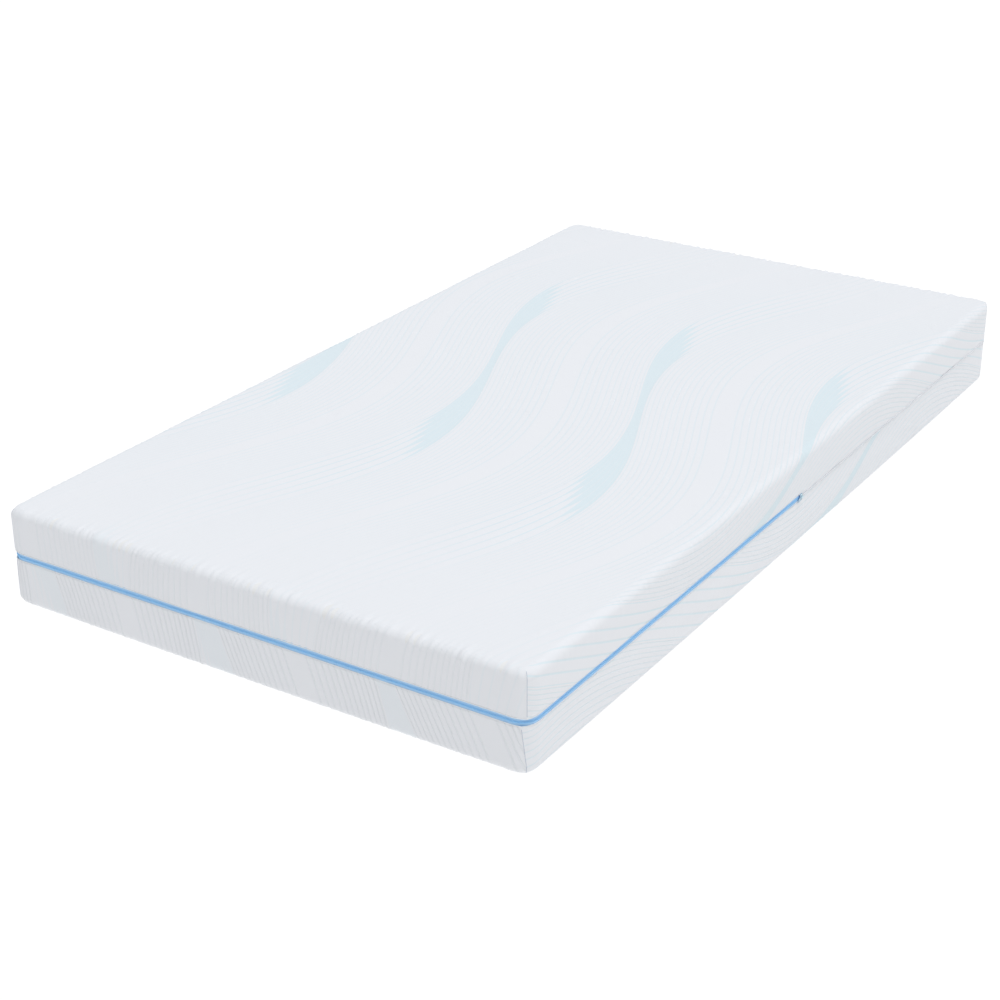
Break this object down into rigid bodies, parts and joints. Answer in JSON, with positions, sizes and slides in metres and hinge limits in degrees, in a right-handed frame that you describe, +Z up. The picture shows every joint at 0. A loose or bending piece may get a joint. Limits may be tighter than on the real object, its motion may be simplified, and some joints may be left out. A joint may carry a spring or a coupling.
{
  "type": "memory foam mattress",
  "caption": "Single memory foam mattress in a removable patterned knit cover, with a zip round the front half and a top flap that folds back.",
  "frame": {"origin": "centre of the flat face that the mattress lies on", "axes": "+Z up to the sleeping face, Y along the length with the zipped short end at -Y, X across the width with the slider's side at +X"},
  "size_m": [1.0551, 1.9009, 0.18],
  "materials": {
    "cover_jacquard": "matte",
    "wadding": "matte",
    "sleeve_knit": "matte",
    "support_foam": "matte",
    "memory_foam": "matte",
    "zip_tape": "matte",
    "zip_coil": "satin",
    "sewing_thread": "satin",
    "slider_metal": "satin"
  },
  "bodies": {
    "mattress": {"support_foam_core": "support_foam", "memory_foam_layer": "memory_foam", "inner_sleeve": "sleeve_knit", "sleeve_end_seams": "sleeve_knit", "cover_base": "cover_jacquard", "base_wadding": "wadding", "cover_top_rear": "cover_jacquard", "top_rear_wadding": "wadding", "zip_tape_lower": "zip_tape", "zip_tape_upper_ends": "zip_tape", "zip_coil_lower": "zip_coil", "zip_coil_upper_ends": "zip_coil", "zip_end_tacks": "sewing_thread", "joining_seam": "cover_jacquard", "base_zip_stitching": "sewing_thread", "rear_corner_seams": "sewing_thread", "base_corner_seams": "sewing_thread"},
    "cover_flap": {"cover_top_flap": "cover_jacquard", "flap_wadding": "wadding", "zip_tape_upper": "zip_tape", "zip_coil_upper": "zip_coil", "flap_zip_stitching": "sewing_thread", "flap_corner_seams": "sewing_thread"},
    "zip_slider": {"zip_slider": "slider_metal"},
    "pull_tab": {"pull_tab": "slider_metal"}
  },
  "joints": [
    {"name": "slider_travel", "type": "slide", "parent": "mattress", "child": "zip_slider", "axis": [0, -1, 0], "range_m": [0, 0.9]},
    {"name": "pull_tab_flip", "type": "hinge", "parent": "zip_slider", "child": "pull_tab", "pos_m": [0.5275, -0.0119, 0.093], "axis": [0, -0.4067, 0.9135], "range_deg": [0, 175]},
    {"name": "cover_flap_fold", "type": "hinge", "parent": "mattress", "child": "cover_flap", "pos_m": [0, -0.02, 0.188], "axis": [-1, 0, 0], "range_deg": [0, 178]}
  ]
}
